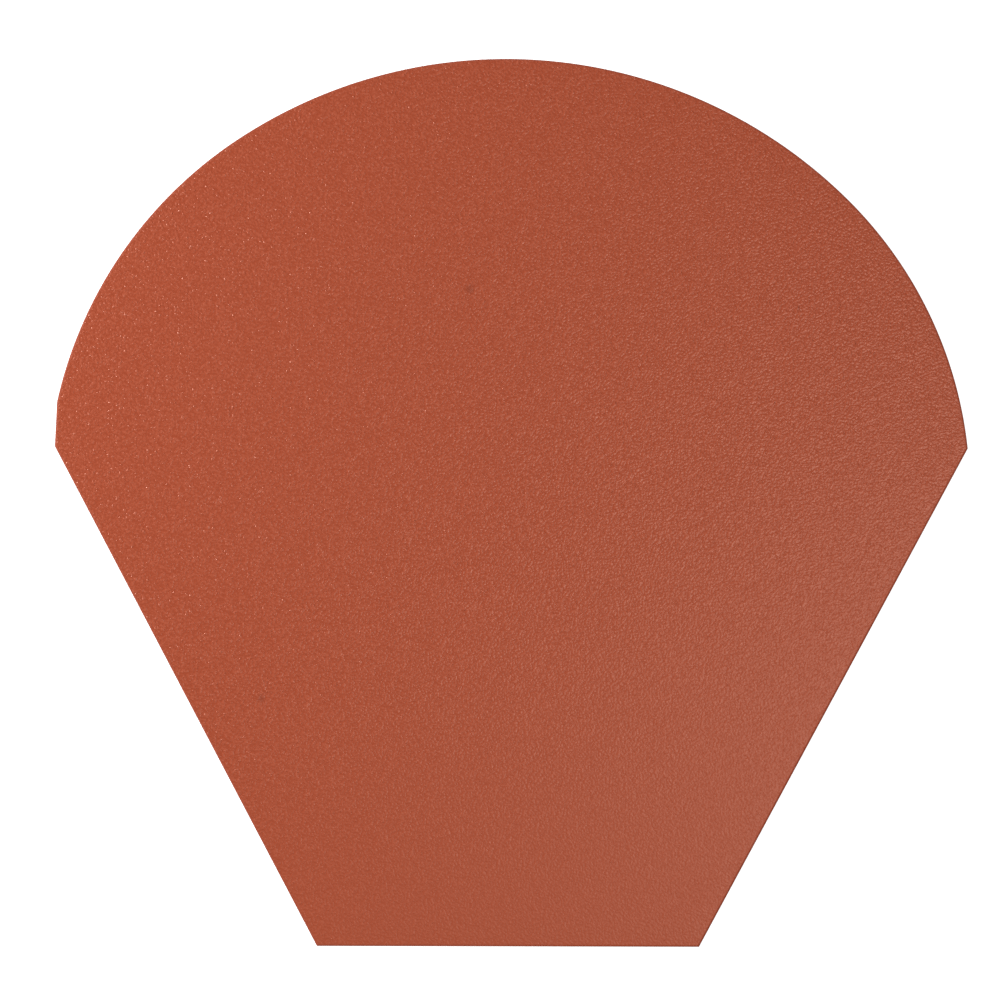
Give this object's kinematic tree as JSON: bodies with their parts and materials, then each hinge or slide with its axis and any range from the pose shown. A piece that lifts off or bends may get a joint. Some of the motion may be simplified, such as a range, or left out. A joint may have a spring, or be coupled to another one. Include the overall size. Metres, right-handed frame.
{
  "type": "ridge end cap",
  "caption": "Flat sheet-steel end cap with an arched top, tapering sides and a straight foot, in a fine-textured red coat. It closes the open end of a half-round roof ridge.",
  "frame": {"origin": "middle of the bounding box, on the back face that the sheet lies on", "axes": "+Z out of the coated face, +Y from the foot to the top of the arch, +X to the right seen from the coated face"},
  "size_m": [0.215, 0.209, 0.0005],
  "materials": {
    "coated_steel": "fine-textured matt terracotta red coat on the front, plain light grey coat on the back, cut steel edge"
  },
  "bodies": {
    "root": {"end_cap_plate": "coated_steel"}
  },
  "joints": []
}
